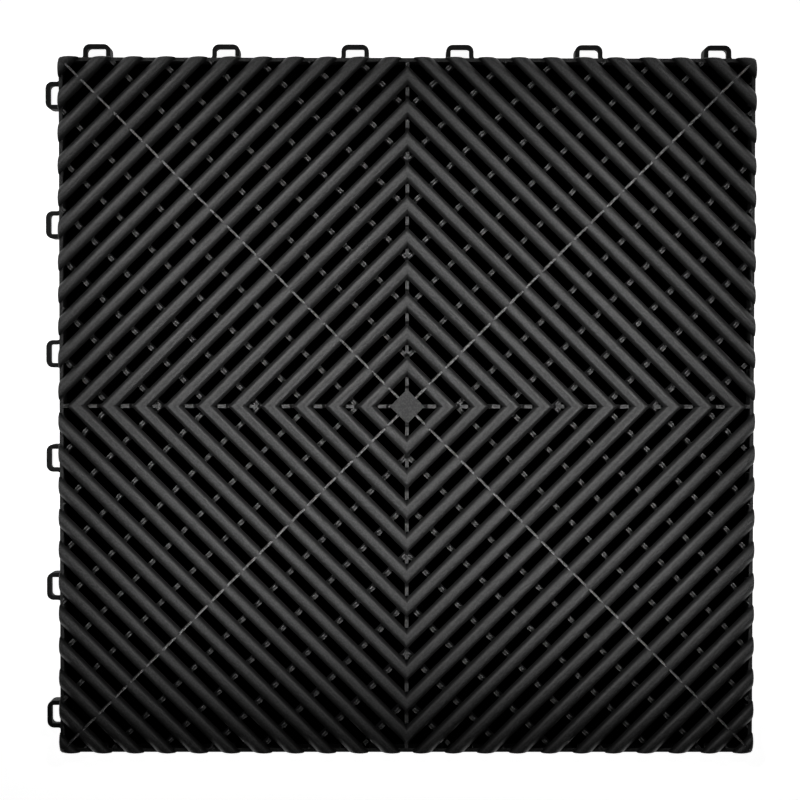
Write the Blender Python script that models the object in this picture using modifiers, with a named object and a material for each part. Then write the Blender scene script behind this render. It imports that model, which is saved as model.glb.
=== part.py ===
"""Interlocking open-rib garage floor tile, moulded in one piece.

Metres, +Z up. The origin is on the floor at the tile's centre. The loops stand out
on the -X and +Y sides, and the sockets that take a neighbour's loops are cut into
the +X and -Y sides.
"""

import math

import bmesh
import bpy
from mathutils import Matrix

# Overall size
MODULE = 0.400
RIM_CLEARANCE = 0.0012
TILE_HEIGHT = 0.018

# Ribs, concentric squares standing on their corners
RIB_PITCH = 0.0130
RIB_FIRST = 0.0166
RIB_WIDTH = 0.0082
RIB_DEPTH = 0.0043
RIB_FLAT_WIDTH = 0.0028
RIB_ROUND_HEIGHT = 0.0024
RIB_END_PROUD = 0.0006

# Plate at the centre and the post under it
PLATE_WIDTH = 0.0142
POST_WIDTH = 0.0100

# Walls that carry the ribs
WALL_PITCH = 0.020
WALL_THICKNESS = 0.0024
CENTRE_WALL_THICKNESS = 0.0021
DIAGONAL_WALL_THICKNESS = 0.0010

# Rim
RIM_THICKNESS = 0.0022
CORNER_RADIUS = 0.0017

# Loops
LOOP_SPACING = 0.0737
LOOP_MIDDLE_SPACING = 0.0598
LOOP_WIDTH = 0.0157
LOOP_REACH = 0.0083
LOOP_BAR = 0.0026
LOOP_CORNER_RADIUS = 0.0032

# Sockets, each with a tongue that drops into a neighbour's loop
SOCKET_CLEARANCE = 0.0005
SOCKET_BACK_CLEARANCE = 0.0015
SOCKET_ROOF_THICKNESS = 0.0012
TONGUE_CLEARANCE = 0.0004
TONGUE_FOOT = 0.0010
TONGUE_RECESS = 0.0002

# Construction
ROUND_STEPS = 2
OVERSHOOT = 0.005
MERGE_DISTANCE = 0.00001
FLAT_ANGLE = math.radians(0.1)
ROOT_TWO = math.sqrt(2.0)
QUARTER_TURN = math.pi / 2

# Places that follow from the sizes
RIM_HALF = MODULE / 2 - RIM_CLEARANCE
RIM_MIDDLE = RIM_HALF - RIM_THICKNESS / 2
TIP_HALF = RIM_HALF + RIB_END_PROUD
WALL_TOP = TILE_HEIGHT - RIB_DEPTH
SOCKET_ROOF = WALL_TOP - SOCKET_ROOF_THICKNESS
SOCKET_WIDTH = LOOP_WIDTH + 2 * SOCKET_CLEARANCE
LOOP_HEIGHT = SOCKET_ROOF - SOCKET_CLEARANCE
NEIGHBOUR_LOOP_END = MODULE - RIM_HALF - LOOP_REACH
TONGUE_BACK = NEIGHBOUR_LOOP_END + LOOP_BAR + TONGUE_CLEARANCE
TONGUE_WIDTH = LOOP_WIDTH - 2 * LOOP_BAR - 2 * TONGUE_CLEARANCE
TONGUE_TOP = (SOCKET_ROOF + WALL_TOP) / 2

# Sides, as turns of the +X side about the centre
LOOP_SIDES = (2 * QUARTER_TURN, QUARTER_TURN)
SOCKET_SIDES = (0.0, -QUARTER_TURN)


def clear_scene():
    """Empty the file of whatever it opened with."""
    for old in list(bpy.data.objects):
        bpy.data.objects.remove(old, do_unlink=True)


def new_collection(name):
    made = bpy.data.collections.new(name)
    bpy.context.scene.collection.children.link(made)
    return made


def plastic():
    """Black polypropylene with a fine satin surface."""
    made = bpy.data.materials.new("black_polypropylene")
    made.use_nodes = True
    shader = made.node_tree.nodes["Principled BSDF"]
    shader.inputs["Base Color"].default_value = (0.035, 0.035, 0.036, 1.0)
    shader.inputs["Roughness"].default_value = 0.5
    shader.inputs["Metallic"].default_value = 0.0
    return made


def object_from(cage, name, collection):
    """Turn a bmesh into an object of a collection."""
    mesh = bpy.data.meshes.new(name)
    cage.to_mesh(mesh)
    cage.free()
    made = bpy.data.objects.new(name, mesh)
    collection.objects.link(made)
    return made


def fixed(obj):
    """Replace an object's modifiers by their result, with its faces pointing out."""
    graph = bpy.context.evaluated_depsgraph_get()
    mesh = bpy.data.meshes.new_from_object(obj.evaluated_get(graph))
    obj.modifiers.clear()
    old = obj.data
    obj.data = mesh
    bpy.data.meshes.remove(old)
    cage = bmesh.new()
    cage.from_mesh(mesh)
    bmesh.ops.recalc_face_normals(cage, faces=cage.faces)
    cage.to_mesh(mesh)
    cage.free()
    return obj


def combine(obj, operation, other, name):
    """Join or cut an object with another object or with all of a collection."""
    joint = obj.modifiers.new(name, "BOOLEAN")
    joint.operation = operation
    joint.solver = "EXACT"
    if isinstance(other, bpy.types.Collection):
        joint.operand_type = "COLLECTION"
        joint.collection = other
    else:
        joint.object = other


def merge_flat_faces(obj):
    """Take away the seams that joining leaves inside flat faces."""
    merge = obj.modifiers.new("flat_faces", "DECIMATE")
    merge.decimate_type = "DISSOLVE"
    merge.angle_limit = FLAT_ANGLE
    merge.delimit = set()


def turned_squares(name, outlines, collection, closed):
    """Turn outlines in four steps, so that each becomes a square on its corner.

    An outline lists half widths, measured square to the sides, and heights.
    """
    cage = bmesh.new()
    for outline in outlines:
        corners = [cage.verts.new((half * ROOT_TWO, 0.0, height)) for half, height in outline]
        pairs = list(zip(corners, corners[1:]))
        if closed:
            pairs.append((corners[-1], corners[0]))
        for start, end in pairs:
            cage.edges.new((start, end))
    made = object_from(cage, name, collection)
    screw = made.modifiers.new("four_steps", "SCREW")
    screw.angle = math.tau
    screw.steps = 4
    screw.render_steps = 4
    screw.use_merge_vertices = True
    screw.merge_threshold = MERGE_DISTANCE
    screw.use_smooth_shade = False
    return fixed(made)


def box(cage, low, high, place=Matrix.Identity(4), corner_radius=0.0, rounded_from=None):
    """Add a box between two corners to a bmesh.

    With a corner radius its upright edges are rounded, or only those beyond an X.
    """
    corners = list(bmesh.ops.create_cube(cage, size=1.0)["verts"])
    for corner in corners:
        corner.co = [top if side > 0 else bottom for side, bottom, top in zip(corner.co, low, high)]
    if corner_radius:
        upright = []
        for edge in dict.fromkeys(edge for corner in corners for edge in corner.link_edges):
            start, end = edge.verts
            beyond = rounded_from is None or start.co.x > rounded_from
            if start.co.z != end.co.z and beyond:
                upright.append(edge)
        rounded = bmesh.ops.bevel(
            cage,
            geom=upright,
            offset=corner_radius,
            segments=ROUND_STEPS,
            profile=0.5,
            affect="EDGES",
        )
        corners = [corner for corner in corners if corner.is_valid] + rounded["verts"]
    bmesh.ops.transform(cage, matrix=place, verts=list(dict.fromkeys(corners)))


def boxes(name, collection, pieces):
    """Make one object from boxes that don't touch each other."""
    cage = bmesh.new()
    for piece in pieces:
        box(cage, **piece)
    return object_from(cage, name, collection)


def crown(width, flat_width):
    """Right half of a rib's section, from the middle of its side up to its flat crest."""
    flat_half = flat_width / 2
    round_half = width / 2 - flat_half
    round_foot = TILE_HEIGHT - RIB_ROUND_HEIGHT
    points = [(width / 2, WALL_TOP)]
    for step in range(ROUND_STEPS + 1):
        angle = QUARTER_TURN * step / ROUND_STEPS
        across = flat_half + round_half * math.cos(angle)
        points.append((across, round_foot + RIB_ROUND_HEIGHT * math.sin(angle)))
    return points


def rib_outlines():
    """Closed section of every rib that reaches inside the tile's corners."""
    right = crown(RIB_WIDTH, RIB_FLAT_WIDTH)
    section = right + [(-across, height) for across, height in reversed(right)]
    outlines = []
    middle = RIB_FIRST
    while middle < TIP_HALF * ROOT_TWO:
        outlines.append([(middle + across, height) for across, height in section])
        middle += RIB_PITCH
    return outlines


def ribs(collection, cutters):
    """Square ribs about the centre, trimmed just outside the rim."""
    made = turned_squares("ribs", rib_outlines(), collection, closed=True)
    outline = {
        "low": (-TIP_HALF, -TIP_HALF, -OVERSHOOT),
        "high": (TIP_HALF, TIP_HALF, TILE_HEIGHT + OVERSHOOT),
        "corner_radius": CORNER_RADIUS + RIB_END_PROUD,
    }
    combine(made, "INTERSECT", boxes("rib_end_limit", cutters, [outline]), "trimmed_ends")
    return fixed(made)


def centre_plate(collection):
    """Square plate at the centre, on a post that stands on the floor."""
    outline = [(0.0, 0.0), (POST_WIDTH / 2, 0.0), (POST_WIDTH / 2, WALL_TOP)]
    outline += crown(PLATE_WIDTH, PLATE_WIDTH - RIB_WIDTH + RIB_FLAT_WIDTH)
    outline.append((0.0, TILE_HEIGHT))
    return turned_squares("centre_plate", [outline], collection, closed=False)


def wall_piece(start, end, offset, thickness, turn):
    """Upright wall from the floor to the ribs, along a direction turned from +X."""
    return {
        "low": (start, offset - thickness / 2, 0.0),
        "high": (end, offset + thickness / 2, WALL_TOP),
        "place": Matrix.Rotation(turn, 4, "Z"),
    }


def quadrant_walls(quadrant):
    """Walls of one quadrant, square to its ribs, from the centre walls to the rim."""
    turn = QUARTER_TURN / 2 + quadrant * QUARTER_TURN
    corner = RIM_MIDDLE * ROOT_TWO
    corner_end = corner - DIAGONAL_WALL_THICKNESS
    pieces = [wall_piece(POST_WIDTH / 4, corner_end, 0.0, DIAGONAL_WALL_THICKNESS, turn)]
    offset = WALL_PITCH
    while offset + WALL_PITCH / 2 < corner - offset:
        for side in (-1, 1):
            pieces.append(wall_piece(offset, corner - offset, side * offset, WALL_THICKNESS, turn))
        offset += WALL_PITCH
    return pieces


def walls(collection):
    """All walls under the ribs, in families whose walls don't meet each other."""
    boxes("walls_rising", collection, quadrant_walls(0) + quadrant_walls(2))
    boxes("walls_falling", collection, quadrant_walls(1) + quadrant_walls(3))
    centre_walls = [
        wall_piece(POST_WIDTH / 4, RIM_MIDDLE, 0.0, CENTRE_WALL_THICKNESS, turn * QUARTER_TURN)
        for turn in range(4)
    ]
    boxes("centre_walls", collection, centre_walls)


def side_places(sides):
    """Placement of every loop or socket that fits along each of the named sides."""
    limit = RIM_HALF - CORNER_RADIUS - SOCKET_WIDTH / 2
    middle = LOOP_MIDDLE_SPACING / 2
    while middle <= limit:
        for turn in sides:
            for place in (-middle, middle):
                yield Matrix.Rotation(turn, 4, "Z") @ Matrix.Translation((0.0, place, 0.0))
        middle += LOOP_SPACING


def loops(collection, cutters):
    """Upright loops outside the rim, each a rounded block with a hole through it."""
    hole_half = LOOP_WIDTH / 2 - LOOP_BAR
    bodies = []
    holes = []
    for place in side_places(LOOP_SIDES):
        body = {
            "low": (RIM_MIDDLE, -LOOP_WIDTH / 2, 0.0),
            "high": (RIM_HALF + LOOP_REACH, LOOP_WIDTH / 2, LOOP_HEIGHT),
            "corner_radius": LOOP_CORNER_RADIUS,
            "rounded_from": RIM_HALF,
        }
        hole = {
            "low": (RIM_HALF, -hole_half, -OVERSHOOT),
            "high": (RIM_HALF + LOOP_REACH - LOOP_BAR, hole_half, LOOP_HEIGHT + OVERSHOOT),
        }
        bodies.append({**body, "place": place})
        holes.append({**hole, "place": place})
    made = boxes("loops", collection, bodies)
    combine(made, "DIFFERENCE", boxes("loop_holes", cutters, holes), "holes")
    return fixed(made)


def sockets(cutters):
    """Hollows that take a neighbour's loops, open below and at the side."""
    back = NEIGHBOUR_LOOP_END - SOCKET_BACK_CLEARANCE
    low = (back, -SOCKET_WIDTH / 2, -OVERSHOOT)
    high = (RIM_HALF + OVERSHOOT, SOCKET_WIDTH / 2, SOCKET_ROOF)
    hollows = [{"low": low, "high": high, "place": place} for place in side_places(SOCKET_SIDES)]
    return boxes("sockets", cutters, hollows)


def tongues(cutters):
    """Tongues that hang from the rim in the middle of each socket."""
    low = (TONGUE_BACK, -TONGUE_WIDTH / 2, TONGUE_FOOT)
    high = (RIM_HALF - TONGUE_RECESS, TONGUE_WIDTH / 2, TONGUE_TOP)
    tips = [{"low": low, "high": high, "place": place} for place in side_places(SOCKET_SIDES)]
    return boxes("tongues", cutters, tips)


def rim(collection, cutters):
    """Upright wall round the tile, from the floor to the underside of the ribs."""
    inner = RIM_HALF - RIM_THICKNESS
    outside = {
        "low": (-RIM_HALF, -RIM_HALF, 0.0),
        "high": (RIM_HALF, RIM_HALF, WALL_TOP),
        "corner_radius": CORNER_RADIUS,
    }
    inside = {"low": (-inner, -inner, -OVERSHOOT), "high": (inner, inner, TILE_HEIGHT)}
    made = boxes("tile", collection, [outside])
    combine(made, "DIFFERENCE", boxes("rim_inside", cutters, [inside]), "open_middle")
    return made


def build():
    clear_scene()
    part = new_collection("interlocking_floor_tile")
    forms = new_collection("forms_to_join")
    cutters = new_collection("cutters")

    ribs(forms, cutters)
    centre_plate(forms)
    walls(forms)
    loops(forms, cutters)

    tile = rim(part, cutters)
    combine(tile, "UNION", forms, "joined_forms")
    combine(tile, "DIFFERENCE", sockets(cutters), "sockets")
    combine(tile, "UNION", tongues(cutters), "tongues")
    merge_flat_faces(tile)
    tile.data.materials.append(plastic())

    for helper in list(forms.objects) + list(cutters.objects):
        helper.hide_render = True
        helper.display_type = "WIRE"


build()
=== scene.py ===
"""Looks of an interlocking open-rib garage floor tile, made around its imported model.

Metres, +Z up, origin on the floor at the tile's centre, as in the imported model.
Every piece is moulded in one with the others, so all of them ride the one body.
"""

import math

import bmesh
import bpy
from bpy.props import FloatProperty, FloatVectorProperty, PointerProperty
from mathutils import Matrix, Vector


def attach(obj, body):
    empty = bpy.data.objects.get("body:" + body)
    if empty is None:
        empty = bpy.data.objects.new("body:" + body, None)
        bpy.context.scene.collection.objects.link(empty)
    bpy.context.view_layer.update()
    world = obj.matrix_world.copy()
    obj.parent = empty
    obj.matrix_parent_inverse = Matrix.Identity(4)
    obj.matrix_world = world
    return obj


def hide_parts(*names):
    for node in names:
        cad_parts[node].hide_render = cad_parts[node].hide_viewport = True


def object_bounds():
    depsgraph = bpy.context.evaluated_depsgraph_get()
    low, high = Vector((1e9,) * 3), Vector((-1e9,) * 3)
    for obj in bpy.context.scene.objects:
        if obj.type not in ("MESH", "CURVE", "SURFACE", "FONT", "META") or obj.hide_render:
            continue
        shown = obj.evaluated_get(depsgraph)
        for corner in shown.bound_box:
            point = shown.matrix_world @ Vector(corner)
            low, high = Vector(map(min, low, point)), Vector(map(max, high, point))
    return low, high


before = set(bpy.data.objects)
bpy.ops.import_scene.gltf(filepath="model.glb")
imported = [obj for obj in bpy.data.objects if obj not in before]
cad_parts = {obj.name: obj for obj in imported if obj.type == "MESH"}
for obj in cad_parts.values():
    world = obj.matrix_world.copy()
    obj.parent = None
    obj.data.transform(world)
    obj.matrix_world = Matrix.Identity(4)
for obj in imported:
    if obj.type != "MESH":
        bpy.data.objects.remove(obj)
CAD_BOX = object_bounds()

bl_info = {
    "name": "Open-rib floor tile",
    "version": (1, 0, 0),
    "blender": (4, 5, 0),
    "location": "3D View > Sidebar > Floor tile",
    "description": "Makes the ribs, walls, loops and studio of an open-rib floor tile",
    "category": "Object",
}

NODE = "tile"
BODY = "root"

ROOT_TWO = math.sqrt(2.0)
QUARTER_TURN = math.pi / 2
EIGHTH_TURN = math.pi / 4
CAD_HEIGHT = CAD_BOX[1].z
MERGE_DISTANCE = 0.00001
SHARP_ANGLE = math.radians(35)

# A wall's top is full as far as its crest, and sunk from this many times as far
CREST_FADE = 1.6

# Between which values of a pattern, from 0 to 1, grey is mixed into the plastic; on the diagonal
# webs' tops this is a painted highlight
GREYED_SPECKLE = (0.40, 0.66)
GREYED_MOTTLE = (0.52, 0.75)
GREYED_PATCHES = (0.35, 0.70)
MOTTLE_SHARE = 0.5

# How far each pattern moves the roughness
SPECKLE_GLOSS = 0.34
MOTTLE_GLOSS = 0.10
PATCH_GLOSS = 0.06
FLOW_GLOSS = 0.05

# How deep each pattern is, with the grain's depth as 1
SPECKLE_RELIEF = 1.2
MOTTLE_RELIEF = 0.8
FLOW_RELIEF = 0.8

# The floor's grey and roughness, and the soft edge of its painted shadow, a black patch under the
# tile
FLOOR_GREY = 0.85
FLOOR_ROUGHNESS = 0.9
PAINTED_SHADOW_EDGE = 0.001

# How far up the horizon's white reaches, as the sine of an angle
HORIZON_TOP = 0.08

# Each lamp's azimuth and its tilt from straight up in degrees, and its strength
LAMPS = {
    "high_north_lamp": (90.0, 25.0, 0.8),
    "high_south_lamp": (270.0, 25.0, 1.0),
    "east_lamp": (0.0, 42.0, 1.4),
    "north_east_lamp": (45.0, 42.0, 0.8),
    "north_west_lamp": (135.0, 42.0, 1.6),
    "west_lamp": (180.0, 42.0, 1.0),
}


# Sizes, finish and studio that a user may change


def length(name, description, default):
    """A length in metres with the usual limits."""
    return FloatProperty(
        name=name,
        description=description,
        default=default,
        min=0.0,
        precision=5,
        unit="LENGTH",
        subtype="DISTANCE",
    )


class FloorTileSizes(bpy.types.PropertyGroup):
    """Sizes of the moulding. A few differ slightly from its solid model's."""

    height: length("Height", "Height of the ribs' crests above the floor", CAD_HEIGHT)
    wall_top: length("Wall top", "Height of the walls that carry the ribs", 0.0137)
    rim_half: length("Rim half width", "Half of the width across the rim", 0.1988)
    rim_thickness: length("Rim thickness", "Thickness of the rim", 0.0022)
    rim_edge: length("Rim edge", "Rounding of the rim's edges", 0.0003)
    corner_radius: length("Corner radius", "Radius of the rim's corners", 0.0017)
    rib_pitch: length("Rib pitch", "Distance between neighbouring ribs", 0.0130)
    rib_first: length("First rib", "Half width of the innermost square of ribs", 0.0166)
    rib_width: length("Rib width", "Width of a rib at its foot", 0.0078)
    rib_arch: length("Rib arch", "Height of the rounded part of a rib", 0.0042)
    rib_proud: length("Rib ends proud", "How far the ribs' ends stand out of the rim", 0.0003)
    rib_end_radius: length("Rib end radius", "Rounding of the ribs' cut ends", 0.0013)
    pinch_width: length("Pinch width", "Length of the dip where a web crosses a rib", 0.0020)
    pinch_depth: length("Pinch depth", "Depth of the dip where a web crosses a rib", 0.0003)
    wall_pitch: length("Wall pitch", "Distance between neighbouring walls", 0.020)
    wall_thickness: length("Wall thickness", "Thickness of the walls", 0.0024)
    web_thickness: length("Centre web thickness", "Thickness of the centre-line webs", 0.0021)
    diagonal_thickness: length("Diagonal web thickness", "Thickness of diagonal webs", 0.0012)
    diagonal_top: length("Diagonal web top", "Height of the diagonal webs", 0.0175)
    diagonal_crown: length("Diagonal web crown", "Rise of a diagonal web's rounded top", 0.0002)
    ridge_spacing: length("Ridge spacing", "Distance between a wall's two top ridges", 0.0014)
    ridge_depth: length("Ridge depth", "Depth of the dip between a wall's ridges", 0.0006)
    web_ridge_spacing: length("Web ridge spacing", "Distance between a web's ridges", 0.00112)
    web_ridge_depth: length("Web ridge depth", "Depth of the dip between a web's ridges", 0.0003)
    wall_sag: length("Wall sag", "How far a wall's top sinks under the ribs", 0.0040)
    wall_crest: length("Wall crest", "Half length of a wall's full height in a gap", 0.0013)
    web_crest: length("Web crest", "Half length of a centre web's full height", 0.00234)
    plate_width: length("Plate width", "Width of the centre plate", 0.0140)
    plate_edge: length("Plate edge", "Rounding of the centre plate's edge", 0.0005)
    post_width: length("Post width", "Width of the post under the centre plate", 0.0100)
    loop_spacing: length("Loop spacing", "Distance between neighbouring loops", 0.0737)
    loop_first: length("First loop", "Distance from a side's middle to its first loop", 0.0299)
    loop_width: length("Loop width", "Width of a loop", 0.0157)
    loop_reach: length("Loop reach", "How far a loop stands out of the rim", 0.0078)
    loop_bar: length("Loop bar", "Thickness of a loop's bar", 0.0026)
    loop_height: length("Loop height", "Height of a loop", 0.0120)
    loop_crown: length("Loop crown", "Rise of a loop's rounded top", 0.0004)
    loop_lip: length("Loop lip", "Depth of the lip round a loop's hole", 0.0020)
    loop_undercut: length("Loop undercut", "How far a loop's hole widens under its lip", 0.0012)
    loop_flare: length("Loop flare", "How far a loop's legs spread at the rim", 0.0008)
    loop_radius: length("Loop corner radius", "Outer radius of a loop's corners", 0.0038)
    socket_roof: length("Socket roof", "Height of the hollows that take the loops", 0.0125)
    socket_width: length("Socket width", "Width of the hollows that take the loops", 0.0167)
    socket_back: length("Socket back", "Distance from the centre to a socket's back", 0.1914)
    tongue_width: length("Tongue width", "Width of the tongue in a socket", 0.0097)
    tongue_back: length("Tongue back", "Distance from the centre to a tongue's back", 0.1959)
    tongue_foot: length("Tongue foot", "Height of a tongue's foot above the floor", 0.0010)
    tongue_taper: length("Tongue taper", "How much narrower a tongue is at its foot", 0.0012)
    tongue_inset: length("Tongue inset", "How far a tongue stays behind the rim's face", 0.0002)
    tongue_drop: length("Tongue drop", "How far a tongue stays under the wall top", 0.0006)
    tongue_edge: length("Tongue edge", "Rounding of the tongues' edges", 0.0005)


class FloorTileFinish(bpy.types.PropertyGroup):
    """Finish of the moulded plastic."""

    colour: FloatVectorProperty(
        name="Colour",
        description="Colour of the plastic",
        subtype="COLOR",
        size=3,
        min=0.0,
        max=1.0,
        default=(0.009, 0.009, 0.009),
    )
    # Grey mixed into the black in speckles, and on the diagonal webs' tops a painted highlight
    speckle_and_highlight_colour: FloatVectorProperty(
        name="Greyed colour",
        description="Colour where handling has paled the plastic",
        subtype="COLOR",
        size=3,
        min=0.0,
        max=1.0,
        default=(0.036, 0.036, 0.036),
    )
    roughness: FloatProperty(
        name="Roughness",
        description="Roughness of the ribs' crowns",
        default=0.52,
        min=0.0,
        max=1.0,
        subtype="FACTOR",
    )
    grain_size: length("Grain size", "Size of the mould's fine grain", 0.00045)
    grain_depth: length("Grain depth", "Depth of the mould's fine grain", 0.000024)
    speckle_size: length("Speckle size", "Size of the fine speckle in the gloss", 0.0011)
    mottle_size: length("Mottle size", "Size of the mottle in the gloss", 0.0024)
    patch_size: length("Patch size", "Size of the large patches in the gloss", 0.045)
    flow_size: length("Flow mark spacing", "Distance between faint flow marks", 0.009)
    flow_wander: length("Flow mark wander", "How far the flow marks wander", 0.004)
    crest_grey_reach: length("Greyed reach", "How far below the crests the ribs are rubbed", 0.0012)
    grey_fade: length("Greyed fade", "Height over which the rubbing sets in", 0.0008)


class FloorTileStudio(bpy.types.PropertyGroup):
    """Camera, lamps and floor."""

    camera_place: FloatVectorProperty(
        name="Camera place",
        description="Where the camera stands",
        size=3,
        unit="LENGTH",
        subtype="XYZ",
        default=(-0.01103, 0.03190, 1.150),
    )
    camera_turn: FloatVectorProperty(
        name="Camera turn",
        description="Turn of the camera from straight down",
        size=3,
        unit="ROTATION",
        subtype="EULER",
        default=(math.radians(-1.422), math.radians(-0.351), math.radians(0.077)),
    )
    lens: FloatProperty(
        name="Lens",
        description="Focal length of the camera in millimetres",
        default=89.36,
        min=10.0,
    )
    beam_centre: FloatVectorProperty(
        name="Beam centre",
        description="Point that all the lamps face",
        size=3,
        unit="LENGTH",
        subtype="XYZ",
        default=(0.0, 0.018, 0.016),
    )
    lamp_distance: length("Lamp distance", "Distance from the beam centre to the lamps", 1.3)
    beam_width: length("Beam width", "Width of the lit patch from west to east", 0.39)
    beam_depth: length("Beam depth", "Depth of the lit patch from south to north", 0.325)
    lamp_spread: FloatProperty(
        name="Lamp spread",
        description="How wide the grid in front of a soft box lets its light spread",
        default=math.radians(8),
        unit="ROTATION",
        subtype="ANGLE",
    )
    lamp_power: FloatProperty(
        name="Lamp power",
        description="Power of a soft box of strength 1 in watts",
        default=0.097,
        min=0.0,
    )
    fill: FloatProperty(
        name="Fill",
        description="Strength of the light from the room",
        default=0.0005,
        min=0.0,
    )
    backdrop: FloatProperty(
        name="Backdrop",
        description="Whiteness of the floor and room behind the tile",
        default=0.97,
        min=0.0,
        max=1.0,
        subtype="FACTOR",
    )
    floor_width: length("Floor width", "Width of the studio floor", 8.0)


# Node trees


class Value:
    """A node's output socket, on which sums can be written as Python expressions."""

    def __init__(self, nodes, socket):
        self.nodes = nodes
        self.socket = socket

    def sum(self, operation, *values):
        """One Math node."""
        inputs = dict(enumerate(values))
        return self.nodes.add("ShaderNodeMath", {"operation": operation}, inputs)["Value"]

    def __add__(self, other):
        return self.sum("ADD", self, other)

    def __radd__(self, other):
        return self.sum("ADD", other, self)

    def __sub__(self, other):
        return self.sum("SUBTRACT", self, other)

    def __rsub__(self, other):
        return self.sum("SUBTRACT", other, self)

    def __mul__(self, other):
        return self.sum("MULTIPLY", self, other)

    def __rmul__(self, other):
        return self.sum("MULTIPLY", other, self)

    def __truediv__(self, other):
        return self.sum("DIVIDE", self, other)

    def __rtruediv__(self, other):
        return self.sum("DIVIDE", other, self)

    def __neg__(self):
        return self.sum("MULTIPLY", self, -1.0)

    def __abs__(self):
        return self.sum("ABSOLUTE", self)

    def smaller(self, other):
        return self.sum("MINIMUM", self, other)

    def larger(self, other):
        return self.sum("MAXIMUM", self, other)

    def rounded(self):
        return self.sum("ROUND", self)

    def between(self, low, high):
        """0 up to a low value, 1 from a high one, and smooth between them."""
        settings = {"interpolation_type": "SMOOTHSTEP"}
        inputs = {"Value": self, "From Min": low, "From Max": high}
        return self.nodes.add("ShaderNodeMapRange", settings, inputs)["Result"]


class Node:
    """A node, whose outputs are read by name or place as values."""

    def __init__(self, nodes, node):
        self.nodes = nodes
        self.node = node

    def __getitem__(self, name):
        return Value(self.nodes, self.node.outputs[name])


class Nodes:
    """Adds nodes to a tree."""

    # Places of a Mix node's colour sockets, whose names it uses more than once
    MIX_FIRST, MIX_SECOND, MIX_RESULT = 6, 7, 2

    def __init__(self, tree):
        self.tree = tree

    def add(self, kind, settings=None, inputs=None):
        """A node of a type, with its settings made before its inputs are filled."""
        node = self.tree.nodes.new(kind)
        for name, setting in (settings or {}).items():
            setattr(node, name, setting)
        for name, value in (inputs or {}).items():
            for one in value if isinstance(value, list) else [value]:
                if isinstance(one, Value):
                    self.tree.links.new(one.socket, node.inputs[name])
                else:
                    node.inputs[name].default_value = one
        return Node(self, node)

    def mix(self, share, first, second):
        """A first colour, with a share of a second one, which may be past 1."""
        settings = {"data_type": "RGBA", "clamp_factor": False}
        colours = {self.MIX_FIRST: (*first, 1.0), self.MIX_SECOND: (*second, 1.0)}
        return self.add("ShaderNodeMix", settings, {"Factor": share, **colours})[self.MIX_RESULT]

    def feed(self, shader, name, value):
        """Link a value to one of a shader's sockets."""
        self.tree.links.new(value.socket, shader.inputs[name])


class ShapeTree(Nodes):
    """A Geometry Nodes tree that repeats an object's own mesh by a rule."""

    def __init__(self, name, sizes, counts=()):
        super().__init__(bpy.data.node_groups.new(name, "GeometryNodeTree"))
        face = self.tree.interface
        face.new_socket("Geometry", in_out="INPUT", socket_type="NodeSocketGeometry")
        for label in sizes:
            face.new_socket(label, in_out="INPUT", socket_type="NodeSocketFloat")
        for label in counts:
            face.new_socket(label, in_out="INPUT", socket_type="NodeSocketInt")
        face.new_socket("Material", in_out="INPUT", socket_type="NodeSocketMaterial")
        face.new_socket("Geometry", in_out="OUTPUT", socket_type="NodeSocketGeometry")
        self.given = self.add("NodeGroupInput")

    def place(self):
        """The three coordinates of each point."""
        position = self.add("GeometryNodeInputPosition")["Position"]
        parts = self.add("ShaderNodeSeparateXYZ", inputs={"Vector": position})
        return parts["X"], parts["Y"], parts["Z"]

    def vector(self, x, y, z):
        return self.add("ShaderNodeCombineXYZ", inputs={"X": x, "Y": y, "Z": z})["Vector"]

    def move_to(self, geometry, x, y, z):
        inputs = {"Geometry": geometry, "Position": self.vector(x, y, z)}
        return self.add("GeometryNodeSetPosition", inputs=inputs)["Geometry"]

    def row(self, count, first, pitch):
        """Points along Y."""
        inputs = {
            "Count": count,
            "Start Location": self.vector(0.0, first, 0.0),
            "Offset": self.vector(0.0, pitch, 0.0),
        }
        settings = {"mode": "OFFSET"}
        return self.add("GeometryNodeMeshLine", settings, inputs)["Mesh"]

    def repeat(self, geometry, points, rotation=(0.0, 0.0, 0.0)):
        """A real copy of the geometry on every point."""
        inputs = {"Points": points, "Instance": geometry, "Rotation": rotation}
        copies = self.add("GeometryNodeInstanceOnPoints", inputs=inputs)["Instances"]
        return self.add("GeometryNodeRealizeInstances", inputs={"Geometry": copies})["Geometry"]

    def turned(self, geometry, count, first_turn, step):
        """Copies of the geometry about the tile's centre."""
        index = self.add("GeometryNodeInputIndex")["Index"]
        turn = self.vector(0.0, 0.0, first_turn + index * step)
        return self.repeat(geometry, self.row(count, 0.0, 0.0), turn)

    def both_sides(self, count, first, pitch):
        """Points on either side of the middle."""
        rows = [self.row(count, first, pitch), self.row(count, -first, -pitch)]
        return self.add("GeometryNodeJoinGeometry", inputs={"Geometry": rows})["Geometry"]

    def merged(self, geometry):
        """Join points that meet."""
        inputs = {"Geometry": geometry, "Distance": MERGE_DISTANCE}
        return self.add("GeometryNodeMergeByDistance", inputs=inputs)["Geometry"]

    def end(self, geometry):
        """Name the material and close the tree."""
        real = self.add("GeometryNodeRealizeInstances", inputs={"Geometry": geometry})["Geometry"]
        inputs = {"Geometry": real, "Material": self.given["Material"]}
        finished = self.add("GeometryNodeSetMaterial", inputs=inputs)["Geometry"]
        self.add("NodeGroupOutput", inputs={"Geometry": finished})
        return self.tree


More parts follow.
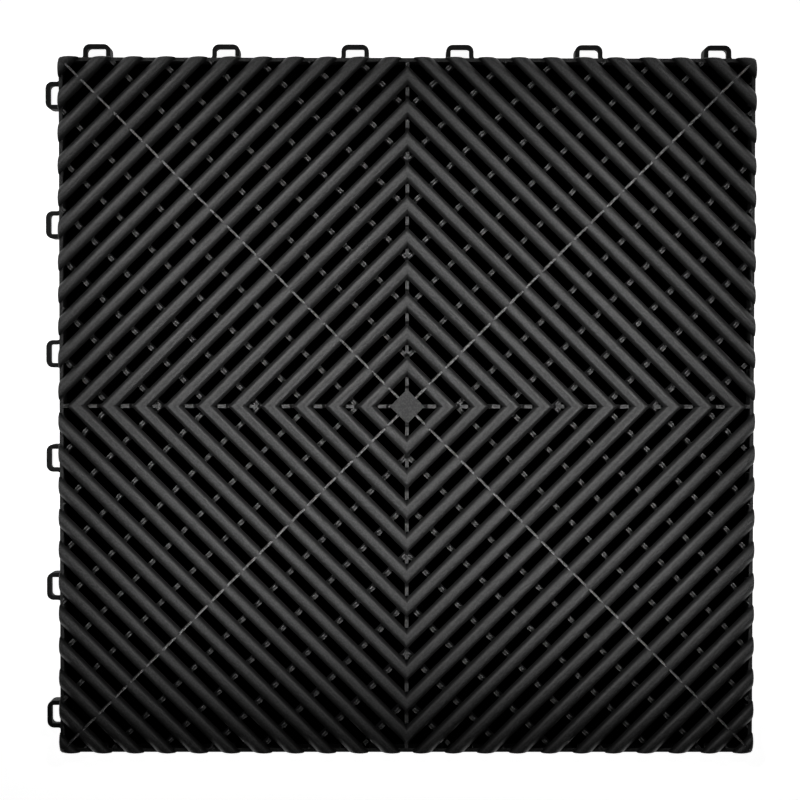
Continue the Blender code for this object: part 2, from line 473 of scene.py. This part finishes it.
def rib_tree():
    """Strips along X become ribs about the centre.

    A rib's ends lie on the centre lines while it fits inside the rim, and follow the
    rim from there on. The strip's X runs from -1 to 1, its Y is across the rib, and
    its shift moves a point along the rib by a length.
    """
    sizes = ("First", "Pitch", "Reach", "Turn")
    nodes = ShapeTree("ribs_by_rule", sizes, ("Count",))
    given = nodes.given
    rows = nodes.row(given["Count"], given["First"], given["Pitch"])
    strips = nodes.repeat(given["Geometry"], rows)
    along, out, height = nodes.place()
    shift = nodes.add(
        "GeometryNodeInputNamedAttribute", {"data_type": "FLOAT"}, {"Name": "shift"}
    )["Attribute"]
    end = out.smaller(given["Reach"] - out)
    ribs = nodes.move_to(strips, out, -(along * end + shift), height)
    return nodes.end(nodes.merged(nodes.turned(ribs, 4, given["Turn"], QUARTER_TURN)))


def wall_tree():
    """Strips along X become upright walls from the centre lines to the rim.

    The strip's X is the distance from the centre line, its Y is across the wall. With
    Mitre at 1 a wall starts and ends at 45 degrees, and with 0 square. A wall sinks by
    a share of its height, Sag, where it passes under a rib.
    """
    sizes = ("First", "Pitch", "Reach", "Mitre", "Turn", "Gap", "Gap pitch", "Crest", "Sag")
    nodes = ShapeTree("walls_by_rule", sizes, ("Count",))
    given = nodes.given
    rows = nodes.both_sides(given["Count"], given["First"], given["Pitch"])
    strips = nodes.repeat(given["Geometry"], rows)
    along, across, height = nodes.place()
    start = abs(across) * given["Mitre"]
    out = along.larger(start).smaller(given["Reach"] - start)
    gaps = (out - given["Gap"]) / given["Gap pitch"]
    from_gap = abs(gaps - gaps.rounded()) * given["Gap pitch"]
    sag = from_gap.between(given["Crest"], given["Crest"] * CREST_FADE) * given["Sag"]
    walls = nodes.merged(nodes.move_to(strips, out, across, height * (1.0 - sag)))
    return nodes.end(nodes.turned(walls, 4, given["Turn"], QUARTER_TURN))


def side_tree():
    """A shape at the +X side becomes a row of them on two neighbouring sides."""
    nodes = ShapeTree("row_on_two_sides", ("First", "Pitch", "Turn"), ("Count",))
    given = nodes.given
    rows = nodes.both_sides(given["Count"], given["First"], given["Pitch"])
    side = nodes.repeat(given["Geometry"], rows)
    return nodes.end(nodes.turned(side, 2, given["Turn"], -QUARTER_TURN))


# Materials


def satin_plastic(name, roughness, gloss_level=0.5, greyed_above=None, greying=0.8):
    """Black moulded plastic with a fine grain, patchy gloss and faint flow marks.

    Grey is mixed into it in speckles by a given share, only above a given height if one is given;
    on the diagonal webs' tops it is a painted highlight.
    """
    finish = bpy.context.scene.floor_tile_finish
    made = bpy.data.materials.new(name)
    made.use_nodes = True
    nodes = Nodes(made.node_tree)
    shader = made.node_tree.nodes["Principled BSDF"]
    shader.inputs["Specular IOR Level"].default_value = gloss_level

    place = nodes.add("ShaderNodeTexCoord")["Object"]
    height = nodes.add("ShaderNodeSeparateXYZ", inputs={"Vector": place})["Z"]
    from_gate = nodes.add("ShaderNodeVectorMath", {"operation": "LENGTH"}, {0: place})["Value"]

    def noise(size, detail, vector=place):
        inputs = {"Vector": vector, "Scale": 1.0 / size, "Detail": detail, "Roughness": 0.55}
        return nodes.add("ShaderNodeTexNoise", {"noise_dimensions": "3D"}, inputs)["Fac"]

    grain = noise(finish.grain_size, detail=2.0)
    speckle = noise(finish.speckle_size, detail=1.0)
    mottle = noise(finish.mottle_size, detail=3.0)
    patches = noise(finish.patch_size, detail=2.0)
    wander = patches * finish.flow_wander
    rings = nodes.add("ShaderNodeCombineXYZ", inputs={"X": from_gate, "Y": wander})
    flow = noise(finish.flow_size, detail=1.0, vector=rings["Vector"])

    # Where grey is mixed in: random speckle and mottle, and on the diagonal webs' tops a painted
    # highlight
    greyed = mottle.between(*GREYED_MOTTLE) * patches.between(*GREYED_PATCHES)
    greyed = greyed * MOTTLE_SHARE + speckle.between(*GREYED_SPECKLE)
    if greyed_above is not None:
        greyed = greyed * height.between(greyed_above, greyed_above + finish.grey_fade)
    colour = nodes.mix(greyed * greying, finish.colour, finish.speckle_and_highlight_colour)
    nodes.feed(shader, "Base Color", colour)

    gloss = roughness + (mottle - 0.5) * MOTTLE_GLOSS + (patches - 0.5) * PATCH_GLOSS
    gloss = gloss + (flow - 0.5) * FLOW_GLOSS + (speckle - 0.5) * SPECKLE_GLOSS
    nodes.feed(shader, "Roughness", gloss)

    relief = grain + speckle * SPECKLE_RELIEF + mottle * MOTTLE_RELIEF + flow * FLOW_RELIEF
    inputs = {"Strength": 1.0, "Distance": finish.grain_depth, "Height": relief}
    nodes.feed(shader, "Normal", nodes.add("ShaderNodeBump", inputs=inputs)["Normal"])
    return made


# Meshes


def mesh_object(name, cage):
    """Turn a bmesh into an object of the scene, with its faces pointing out."""
    bmesh.ops.recalc_face_normals(cage, faces=cage.faces)
    mesh = bpy.data.meshes.new(name)
    cage.to_mesh(mesh)
    cage.free()
    made = bpy.data.objects.new(name, mesh)
    bpy.context.scene.collection.objects.link(made)
    return made


def apply_modifiers(made):
    """Replace an object's modifiers by their result."""
    graph = bpy.context.evaluated_depsgraph_get()
    mesh = bpy.data.meshes.new_from_object(made.evaluated_get(graph))
    made.modifiers.clear()
    old = made.data
    made.data = mesh
    bpy.data.meshes.remove(old)
    mesh.name = made.name


def repeat_by_rule(made, tree, material, values):
    """Give an object's mesh to a tree with its inputs filled, and keep the result."""
    rule = made.modifiers.new("rule", "NODES")
    rule.node_group = tree
    values = {**values, "Material": material}
    for item in tree.interface.items_tree:
        if item.in_out == "INPUT" and item.name in values:
            rule[item.identifier] = values[item.name]
    apply_modifiers(made)


def finish_piece(made, material):
    """Smooth a piece's shading, give it its finish and hang it on the tile."""
    mesh = made.data
    mesh.materials.clear()
    mesh.materials.append(material)
    mesh.polygons.foreach_set("use_smooth", [True] * len(mesh.polygons))
    mesh.set_sharp_from_angle(angle=SHARP_ANGLE)
    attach(made, BODY)
    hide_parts(NODE)


def bevel(made, width, segments=2, angle=math.radians(40)):
    """Round an object's edges that turn by more than an angle."""
    rounding = made.modifiers.new("rounding", "BEVEL")
    rounding.width = width
    rounding.segments = segments
    rounding.limit_method = "ANGLE"
    rounding.angle_limit = angle
    apply_modifiers(made)


def quarter_arc(steps, first=0.0):
    """Cosine and sine of the angles over a quarter turn from a first one."""
    angles = [first + QUARTER_TURN * step / steps for step in range(steps + 1)]
    return [(math.cos(angle), math.sin(angle)) for angle in angles]


def skin(cage, rings, capped=True):
    """Faces over a row of rings of points, closed at both ends if it is capped."""
    for ring, following in zip(rings, rings[1:]):
        for i in range(len(ring)):
            j = (i + 1) % len(ring)
            cage.faces.new((ring[i], ring[j], following[j], following[i]))
    if capped:
        cage.faces.new(reversed(rings[0]))
        cage.faces.new(rings[-1])


def strip(name, stations, section, capped=True):
    """A bar along X, with one closed section drawn in by a length at each station.

    A section is a list of (across, height), counterclockwise as seen from +X.
    A station is its X, the length by which it is shifted along the bar, the length
    by which its sides are drawn in, and the length by which its top is.
    """
    cage = bmesh.new()
    layer = cage.verts.layers.float.new("shift")
    rings = []
    for along, shift, narrowed, lowered in stations:
        ring = []
        for across, height in drawn_in(section, narrowed, lowered):
            vert = cage.verts.new((along, across, height))
            vert[layer] = shift
            ring.append(vert)
        rings.append(ring)
    skin(cage, rings, capped)
    return mesh_object(name, cage)


def drawn_in(section, narrowed, lowered):
    """A section with its sides and top drawn in, and its foot kept where it is."""
    foot = min(height for across, height in section)
    top = max(height for across, height in section)
    drawn = []
    for across, height in section:
        side = math.copysign(min(narrowed, abs(across)), across)
        drop = lowered * (height - foot) / (top - foot)
        drawn.append((across - side, height - drop))
    return drawn


def plain(stations):
    """Stations with a full section."""
    return [(along, 0.0, 0.0, 0.0) for along in stations]


def arch(width, foot, top, rise, steps, squareness=2.0):
    """Section of a bar with straight sides under a rounded crown."""
    half = width / 2
    points = [(-half, foot), (half, foot)]
    for step in range(steps + 1):
        angle = math.pi * step / steps
        across = math.copysign(abs(math.cos(angle)) ** (2 / squareness), math.cos(angle))
        up = math.sin(angle) ** (2 / squareness)
        points.append((half * across, top - rise + rise * up))
    return points


def twin_ridges(width, top, spacing, depth):
    """Section of a wall from the floor up to two flat-topped ridges with a dip between.

    Shares of a ridge's half width and of the dip's depth shape its rounded edges.
    """
    half = width / 2
    ridge = spacing / 2
    edge = min(half - ridge, ridge) * 0.8
    flat = edge * 0.7
    right = [(half, 0.0), (half, top - depth * 0.8), (ridge + edge, top - depth * 0.08)]
    right += [(ridge + flat, top), (ridge - flat, top)]
    right += [(ridge - edge, top - depth * 0.12), (0.0, top - depth)]
    left = [(-across, height) for across, height in reversed(right[:-1])]
    return right + left


def wall_stations(gap, pitch, crest, reach):
    """Stations of a wall whose top is full only over the crests in the ribs' gaps."""
    steps = (1.0, (1.0 + CREST_FADE) / 2, CREST_FADE)
    stations = [0.0]
    middle = gap - pitch
    while middle < reach:
        for step in steps:
            stations += [middle - crest * step, middle + crest * step]
        middle += pitch
    return sorted(station for station in stations if 0.0 <= station < reach) + [reach]


# Operators


class FLOORTILE_OT_ribs(bpy.types.Operator):
    """Make the square ribs and those that run from rim to rim"""

    bl_idname = "floor_tile.ribs"
    bl_label = "Ribs"

    def execute(self, context):
        sizes = context.scene.floor_tile_sizes
        finish = context.scene.floor_tile_finish
        # The ribs get grey mixed in only on their crests
        greyed_above = sizes.height - finish.crest_grey_reach
        material = satin_plastic("rib_plastic", finish.roughness, greyed_above=greyed_above)
        tree = rib_tree()
        reach = (sizes.rim_half + sizes.rib_proud) * ROOT_TWO
        inside = (reach / 2 - sizes.rib_width / 2 - sizes.rib_first) / sizes.rib_pitch
        whole = math.floor(inside) + 1
        section = arch(sizes.rib_width, sizes.wall_top, sizes.height, sizes.rib_arch, steps=14)

        pinch = self.pinch(sizes)
        squares = strip("square_ribs", plain([-1.0]) + pinch + plain([1.0]), section, capped=False)
        values = {
            "First": sizes.rib_first,
            "Pitch": sizes.rib_pitch,
            "Reach": reach,
            "Turn": EIGHTH_TURN,
            "Count": whole,
        }
        repeat_by_rule(squares, tree, material, values)
        finish_piece(squares, material)

        end = self.rounded_end(sizes)
        start = [(-along, -shift, side, top) for along, shift, side, top in reversed(end)]
        runs = strip("edge_ribs", start + pinch + end, section)
        # The outermost rib stays inside the rim's rounded corner
        first = sizes.rib_first + whole * sizes.rib_pitch
        corner = reach - sizes.corner_radius * (ROOT_TWO - 1.0)
        values["First"] = first
        values["Count"] = math.floor((corner - first) / sizes.rib_pitch) + 1
        repeat_by_rule(runs, tree, material, values)
        finish_piece(runs, material)
        return {"FINISHED"}

    def pinch(self, sizes):
        """Stations of the slight dip where a diagonal web runs through a rib."""
        half = sizes.pinch_width / 2
        depth = sizes.pinch_depth
        shoulder = depth * 0.85
        shifts = ((-half, 0.0), (-half / 2, shoulder), (0.0, depth))
        stations = [(0.0, shift, 0.0, low) for shift, low in shifts]
        return stations + [(0.0, -shift, 0.0, low) for shift, low in reversed(shifts[:2])]

    def rounded_end(self, sizes, steps=3):
        """Stations that round off a rib's cut end."""
        radius = sizes.rib_end_radius
        stations = []
        for cosine, sine in quarter_arc(steps):
            shrink = radius * (1.0 - cosine)
            stations.append((1.0, -radius * (1.0 - sine), shrink, shrink))
        return stations


class FLOORTILE_OT_walls(bpy.types.Operator):
    """Make the twin-ridged walls that carry the ribs"""

    bl_idname = "floor_tile.walls"
    bl_label = "Walls"

    def execute(self, context):
        sizes = context.scene.floor_tile_sizes
        material = satin_plastic("wall_plastic", roughness=0.42, gloss_level=0.85)
        section = twin_ridges(
            sizes.wall_thickness, sizes.wall_top, sizes.ridge_spacing, sizes.ridge_depth
        )
        reach = (sizes.rim_half - sizes.rim_thickness / 2) * ROOT_TWO
        gap = sizes.rib_first + sizes.rib_pitch / 2
        crest = sizes.wall_crest
        half_shortest = sizes.wall_pitch / 4
        stations = wall_stations(gap, sizes.rib_pitch, crest, reach)
        walls = strip("tie_walls", plain(stations), section)
        values = {
            "First": sizes.wall_pitch,
            "Pitch": sizes.wall_pitch,
            "Reach": reach,
            "Mitre": 1.0,
            "Turn": EIGHTH_TURN,
            "Gap": gap,
            "Gap pitch": sizes.rib_pitch,
            "Crest": crest,
            "Sag": sizes.wall_sag / sizes.wall_top,
            "Count": math.floor((reach / 2 - half_shortest) / sizes.wall_pitch),
        }
        repeat_by_rule(walls, wall_tree(), material, values)
        self.clear_sockets(walls, sizes)
        finish_piece(walls, material)
        return {"FINISHED"}

    def clear_sockets(self, walls, sizes):
        """Cut the sockets' hollows out of the walls behind the rim."""
        depth = sizes.rim_half - sizes.socket_back
        size = Matrix.Diagonal((2.0 * depth, sizes.socket_width, 2.0 * sizes.socket_roof, 1.0))
        cage = bmesh.new()
        for turn in (0.0, -QUARTER_TURN):
            for place in loop_places(sizes):
                spot = Matrix.Translation((sizes.socket_back + depth, place, 0.0))
                spot = Matrix.Rotation(turn, 4, "Z") @ spot @ size
                bmesh.ops.create_cube(cage, size=1.0, matrix=spot)
        hollows = mesh_object("socket_hollows", cage)
        cut = walls.modifiers.new("sockets", "BOOLEAN")
        cut.operation = "DIFFERENCE"
        cut.solver = "MANIFOLD"
        cut.object = hollows
        apply_modifiers(walls)
        bpy.data.meshes.remove(hollows.data)


class FLOORTILE_OT_webs(bpy.types.Operator):
    """Make the webs on the centre lines and the thin ones on the diagonals"""

    bl_idname = "floor_tile.webs"
    bl_label = "Webs"

    def execute(self, context):
        sizes = context.scene.floor_tile_sizes
        tree = wall_tree()
        material = satin_plastic("web_plastic", roughness=0.42, gloss_level=0.85)
        section = twin_ridges(
            sizes.web_thickness, sizes.wall_top, sizes.web_ridge_spacing, sizes.web_ridge_depth
        )
        reach = sizes.rim_half - sizes.rim_thickness / 2
        pitch = sizes.rib_pitch * ROOT_TWO
        gap = (sizes.rib_first + sizes.rib_pitch / 2) * ROOT_TWO
        crest = sizes.web_crest
        centre = strip("centre_webs", plain(wall_stations(gap, pitch, crest, reach)), section)
        values = {
            "First": 0.0,
            "Pitch": 0.0,
            "Reach": reach,
            "Mitre": 0.0,
            "Turn": 0.0,
            "Gap": gap,
            "Gap pitch": pitch,
            "Crest": crest,
            "Sag": sizes.wall_sag / sizes.wall_top,
            "Count": 1,
        }
        repeat_by_rule(centre, tree, material, values)
        finish_piece(centre, material)

        # Painted highlight: from the wall top up, the diagonal webs get four and a half times the
        # grey, so their thin tops look lit
        material = satin_plastic(
            "diagonal_plastic",
            roughness=0.34,
            gloss_level=1.0,
            greyed_above=sizes.wall_top,
            greying=4.5,
        )
        top = sizes.diagonal_top
        crown = sizes.diagonal_crown
        section = arch(sizes.diagonal_thickness, 0.0, top, crown, steps=6, squareness=3.0)
        values["Reach"] = reach * ROOT_TWO - sizes.rim_thickness / 2
        values["Turn"] = EIGHTH_TURN
        values["Sag"] = 0.0
        diagonal = strip("diagonal_webs", plain([0.0, values["Reach"]]), section)
        repeat_by_rule(diagonal, tree, material, values)
        finish_piece(diagonal, material)
        return {"FINISHED"}


class FLOORTILE_OT_rim(bpy.types.Operator):
    """Make the rim, with its sockets open on two sides"""

    bl_idname = "floor_tile.rim"
    bl_label = "Rim"

    def execute(self, context):
        sizes = context.scene.floor_tile_sizes
        material = satin_plastic("rim_plastic", roughness=0.6, gloss_level=0.3)
        cage = bmesh.new()
        for turn in range(4):
            self.add_side(cage, sizes, turn * QUARTER_TURN, turn in (0, 3))
        bmesh.ops.remove_doubles(cage, verts=cage.verts, dist=MERGE_DISTANCE)
        rim = mesh_object("rim", cage)
        bevel(rim, sizes.rim_edge)
        finish_piece(rim, material)
        return {"FINISHED"}

    def add_side(self, cage, sizes, turn, has_sockets):
        """Add the +X side with its upper corner, turned about the centre.

        A ring's points run up the rim's face, then down its back. Over a socket only
        the roof is left, and the rim is closed on the socket's two sides.
        """
        half = sizes.rim_half
        inner = half - sizes.rim_thickness
        radius = sizes.corner_radius
        straight = half - radius
        edges = [-straight, straight]
        if has_sockets:
            for place in loop_places(sizes):
                edges += [place - sizes.socket_width / 2, place + sizes.socket_width / 2]
        edges.sort()
        stations = [((half, y), (inner, max(-inner, min(inner, y)))) for y in edges]
        opened = [has_sockets and i % 2 == 1 for i in range(len(edges) - 1)]
        for cosine, sine in quarter_arc(4)[1:]:
            outer = (straight + radius * cosine, straight + radius * sine)
            stations.append((outer, (inner, inner)))
            opened.append(False)
        place = Matrix.Rotation(turn, 4, "Z")
        heights = (0.0, sizes.socket_roof, sizes.wall_top)

        def ring(station):
            (outer_x, outer_y), (inner_x, inner_y) = station
            corners = [(outer_x, outer_y, height) for height in heights]
            corners += [(inner_x, inner_y, height) for height in reversed(heights)]
            return [cage.verts.new(place @ Vector(corner)) for corner in corners]

        for number, is_open in enumerate(opened):
            start = ring(stations[number])
            end = ring(stations[number + 1])
            way_round = (1, 2, 3, 4) if is_open else (0, 1, 2, 3, 4, 5)
            for i, j in zip(way_round, way_round[1:] + way_round[:1]):
                widths = [(start[k].co - end[k].co).length for k in (i, j)]
                if max(widths) > MERGE_DISTANCE:
                    cage.faces.new((start[i], end[i], end[j], start[j]))
            if is_open:
                for side in (ring(stations[number]), ring(stations[number + 1])):
                    cage.faces.new([side[i] for i in (0, 1, 4, 5)])


def loop_places(sizes):
    """Distances of the loops and sockets from the middle of a side."""
    places = []
    middle = sizes.loop_first
    while middle < sizes.rim_half - sizes.socket_width / 2:
        places += [-middle, middle]
        middle += sizes.loop_spacing
    return sorted(places)


def side_values(sizes, turn):
    """Inputs that set a row of shapes on two sides."""
    return {
        "First": sizes.loop_first,
        "Pitch": sizes.loop_spacing,
        "Turn": turn,
        "Count": len(loop_places(sizes)) // 2,
    }


class FLOORTILE_OT_loops(bpy.types.Operator):
    """Make the loops that stand out on two sides"""

    bl_idname = "floor_tile.loops"
    bl_label = "Loops"

    def execute(self, context):
        sizes = context.scene.floor_tile_sizes
        material = satin_plastic("loop_plastic", roughness=0.6, gloss_level=0.1, greying=0.3)
        loop = self.one_loop(sizes)
        repeat_by_rule(loop, side_tree(), material, side_values(sizes, 2 * QUARTER_TURN))
        finish_piece(loop, material)
        return {"FINISHED"}

    def bar_section(self, sizes):
        """A bar with a rounded top, cut back on the hole's side under a lip."""
        half = sizes.loop_bar / 2
        lip = sizes.loop_height - sizes.loop_lip
        cut = sizes.loop_undercut
        crown = arch(
            sizes.loop_bar, 0.0, sizes.loop_height, sizes.loop_crown, steps=8, squareness=3.6
        )
        below_lip = [(-half, lip), (cut - half, lip - cut), (cut - half, 0.0)]
        return crown[1:] + below_lip

    def one_loop(self, sizes):
        """A bar bent round three sides of a hole, its ends sunk in the +X rim."""
        half_bar = sizes.loop_bar / 2
        radius = sizes.loop_radius - half_bar
        across = sizes.loop_width / 2 - half_bar
        out = sizes.rim_half + sizes.loop_reach - half_bar
        root = sizes.rim_half - sizes.rim_thickness / 2
        flare = sizes.loop_flare
        leg = [
            (root, across + flare),
            (sizes.rim_half, across + flare * 0.8),
            (sizes.rim_half + flare * 0.8, across + flare * 0.2),
            (sizes.rim_half + flare * 1.8, across),
        ]
        path = [((x, -y), (0.0, -1.0)) for x, y in leg]
        for corner, first in ((radius - across, -QUARTER_TURN), (across - radius, 0.0)):
            for cosine, sine in quarter_arc(5, first):
                point = (out - radius + radius * cosine, corner + radius * sine)
                path.append((point, (cosine, sine)))
        path += [(point, (0.0, 1.0)) for point in reversed(leg)]
        section = self.bar_section(sizes)
        cage = bmesh.new()
        rings = []
        for (x, y), (facing_x, facing_y) in path:
            ring = [(x + facing_x * side, y + facing_y * side, up) for side, up in section]
            rings.append([cage.verts.new(point) for point in ring])
        skin(cage, rings)
        return mesh_object("loops", cage)


class FLOORTILE_OT_tongues(bpy.types.Operator):
    """Make the tongues that hang in the sockets"""

    bl_idname = "floor_tile.tongues"
    bl_label = "Tongues"

    def execute(self, context):
        sizes = context.scene.floor_tile_sizes
        material = satin_plastic("tongue_plastic", roughness=0.5)
        half = sizes.tongue_width / 2
        low = (sizes.tongue_back, -half, sizes.tongue_foot)
        high = (sizes.rim_half - sizes.tongue_inset, half, sizes.wall_top - sizes.tongue_drop)
        cage = bmesh.new()
        for vert in bmesh.ops.create_cube(cage, size=1.0)["verts"]:
            vert.co = [top if side > 0 else foot for side, foot, top in zip(vert.co, low, high)]
        for vert in cage.verts:
            if vert.co.z < sizes.wall_top / 2:
                vert.co.y -= math.copysign(sizes.tongue_taper / 2, vert.co.y)
        tongue = mesh_object("tongues", cage)
        bevel(tongue, sizes.tongue_edge)
        repeat_by_rule(tongue, side_tree(), material, side_values(sizes, 0.0))
        finish_piece(tongue, material)
        return {"FINISHED"}


class FLOORTILE_OT_centre_plate(bpy.types.Operator):
    """Make the plate at the centre and its post"""

    bl_idname = "floor_tile.centre_plate"
    bl_label = "Centre plate"

    def execute(self, context):
        sizes = context.scene.floor_tile_sizes
        finish = context.scene.floor_tile_finish
        material = satin_plastic("plate_plastic", finish.roughness, gloss_level=0.42)
        half = sizes.plate_width / 2
        post = sizes.post_width / 2
        edge = sizes.plate_edge
        outline = [(post, 0.0), (post, sizes.wall_top), (half, sizes.wall_top)]
        for cosine, sine in quarter_arc(4):
            outline.append((half - edge * (1.0 - cosine), sizes.height - edge * (1.0 - sine)))
        cage = bmesh.new()
        rings = []
        for reach, height in outline:
            corner = reach * ROOT_TWO
            ring = [(corner, 0.0), (0.0, corner), (-corner, 0.0), (0.0, -corner)]
            rings.append([cage.verts.new((x, y, height)) for x, y in ring])
        skin(cage, rings)
        plate = mesh_object("centre_plate", cage)
        finish_piece(plate, material)
        return {"FINISHED"}


class FLOORTILE_OT_studio(bpy.types.Operator):
    """Make the floor, the lamps, the room and the camera"""

    bl_idname = "floor_tile.studio"
    bl_label = "Studio"

    def execute(self, context):
        scene = context.scene
        studio = scene.floor_tile_studio
        scene.view_settings.view_transform = "Standard"
        self.add_floor(studio, scene.floor_tile_sizes)
        self.add_room(scene, studio)
        for name, place in LAMPS.items():
            self.add_lamp(scene, studio, name, *place)
        self.add_camera(scene, studio)
        return {"FINISHED"}

    def add_floor(self, studio, sizes):
        """Pale floor that shows white to the camera, with a painted shadow: black and unlit under
        the tile.
        """
        cage = bmesh.new()
        bmesh.ops.create_grid(cage, x_segments=1, y_segments=1, size=studio.floor_width / 2)
        floor = mesh_object("studio_floor", cage)
        material = bpy.data.materials.new("floor_card")
        material.use_nodes = True
        nodes = Nodes(material.node_tree)
        shader = material.node_tree.nodes["Principled BSDF"]
        shader.inputs["Roughness"].default_value = FLOOR_ROUGHNESS
        shader.inputs["Specular IOR Level"].default_value = 0.0
        place = nodes.add("ShaderNodeTexCoord")["Object"]
        parts = nodes.add("ShaderNodeSeparateXYZ", inputs={"Vector": place})
        # Painted shadow: under the tile's footprint the floor is black and gives no light, so the
        # gaps between the ribs show black
        from_centre = abs(parts["X"]).larger(abs(parts["Y"]))
        edge = sizes.rim_half + sizes.rib_proud
        outside_painted_shadow = from_centre.between(edge, edge + PAINTED_SHADOW_EDGE)
        nodes.feed(shader, "Base Color", nodes.mix(outside_painted_shadow, (0.0,) * 3, (FLOOR_GREY,) * 3))
        shader.inputs["Emission Color"].default_value = (1.0, 1.0, 1.0, 1.0)
        nodes.feed(shader, "Emission Strength", outside_painted_shadow * self.seen(nodes) * studio.backdrop)
        floor.data.materials.append(material)

    def seen(self, nodes):
        """1 for what the camera sees, also in a gloss or through glass."""
        path = nodes.add("ShaderNodeLightPath")
        rays = path["Is Camera Ray"].larger(path["Is Glossy Ray"])
        return rays.larger(path["Is Transmission Ray"])

    def add_room(self, scene, studio):
        """White round the horizon and dark overhead, with a weak light of its own."""
        world = bpy.data.worlds.new("room")
        world.use_nodes = True
        scene.world = world
        nodes = Nodes(world.node_tree)
        background = world.node_tree.nodes["Background"]
        towards = nodes.add("ShaderNodeTexCoord")["Generated"]
        height = nodes.add("ShaderNodeSeparateXYZ", inputs={"Vector": towards})["Z"]
        wall = 1.0 - height.between(0.0, HORIZON_TOP)
        light = studio.fill + wall * self.seen(nodes) * (1.0 - studio.fill)
        background.inputs["Color"].default_value = (1.0, 1.0, 1.0, 1.0)
        nodes.feed(background, "Strength", light)

    def add_lamp(self, scene, studio, name, azimuth, tilt, strength):
        """A soft box with a grid, as large as the lit patch looks from where it hangs."""
        tilt = math.radians(tilt)
        azimuth = math.radians(azimuth)
        level = math.sin(tilt)
        towards = Vector((level * math.cos(azimuth), level * math.sin(azimuth), math.cos(tilt)))
        lamp = bpy.data.lights.new(name, "AREA")
        lamp.shape = "RECTANGLE"
        lamp.size = studio.beam_width * math.sqrt(1.0 - towards.x**2)
        lamp.size_y = studio.beam_depth * math.sqrt(1.0 - towards.y**2)
        lamp.spread = studio.lamp_spread
        lamp.energy = studio.lamp_power * strength
        box = bpy.data.objects.new(name, lamp)
        box.location = Vector(studio.beam_centre) + towards * studio.lamp_distance
        box.rotation_mode = "QUATERNION"
        box.rotation_quaternion = Vector((0.0, 0.0, 1.0)).rotation_difference(towards)
        box.visible_camera = False
        scene.collection.objects.link(box)

    def add_camera(self, scene, studio):
        """The camera, above the tile as in the photograph."""
        view = bpy.data.cameras.new("camera")
        view.sensor_width = 36.0
        view.lens = studio.lens
        view.clip_start = 0.01
        view.clip_end = 50.0
        camera = bpy.data.objects.new("camera", view)
        camera.location = studio.camera_place
        camera.rotation_euler = studio.camera_turn
        scene.collection.objects.link(camera)
        scene.camera = camera


class FLOORTILE_PT_panel(bpy.types.Panel):
    """Buttons and sizes of the floor tile"""

    bl_idname = "FLOORTILE_PT_panel"
    bl_label = "Open-rib floor tile"
    bl_space_type = "VIEW_3D"
    bl_region_type = "UI"
    bl_category = "Floor tile"

    def draw(self, context):
        for operator in OPERATORS:
            self.layout.operator(operator.bl_idname)
        for name, group in GROUPS.items():
            box = self.layout.box()
            for key in group.__annotations__:
                box.prop(getattr(context.scene, name), key)


OPERATORS = (
    FLOORTILE_OT_ribs,
    FLOORTILE_OT_walls,
    FLOORTILE_OT_webs,
    FLOORTILE_OT_rim,
    FLOORTILE_OT_loops,
    FLOORTILE_OT_tongues,
    FLOORTILE_OT_centre_plate,
    FLOORTILE_OT_studio,
)
GROUPS = {
    "floor_tile_sizes": FloorTileSizes,
    "floor_tile_finish": FloorTileFinish,
    "floor_tile_studio": FloorTileStudio,
}


def register():
    for kind in (*GROUPS.values(), *OPERATORS, FLOORTILE_PT_panel):
        bpy.utils.register_class(kind)
    for name, group in GROUPS.items():
        setattr(bpy.types.Scene, name, PointerProperty(type=group))


def unregister():
    for name in GROUPS:
        delattr(bpy.types.Scene, name)
    for kind in (FLOORTILE_PT_panel, *OPERATORS, *GROUPS.values()):
        bpy.utils.unregister_class(kind)


def main():
    """Make the studio and the tile."""
    register()
    bpy.ops.floor_tile.studio()
    bpy.ops.floor_tile.ribs()
    bpy.ops.floor_tile.walls()
    bpy.ops.floor_tile.webs()
    bpy.ops.floor_tile.rim()
    bpy.ops.floor_tile.loops()
    bpy.ops.floor_tile.tongues()
    bpy.ops.floor_tile.centre_plate()


if __name__ == "__main__":
    main()
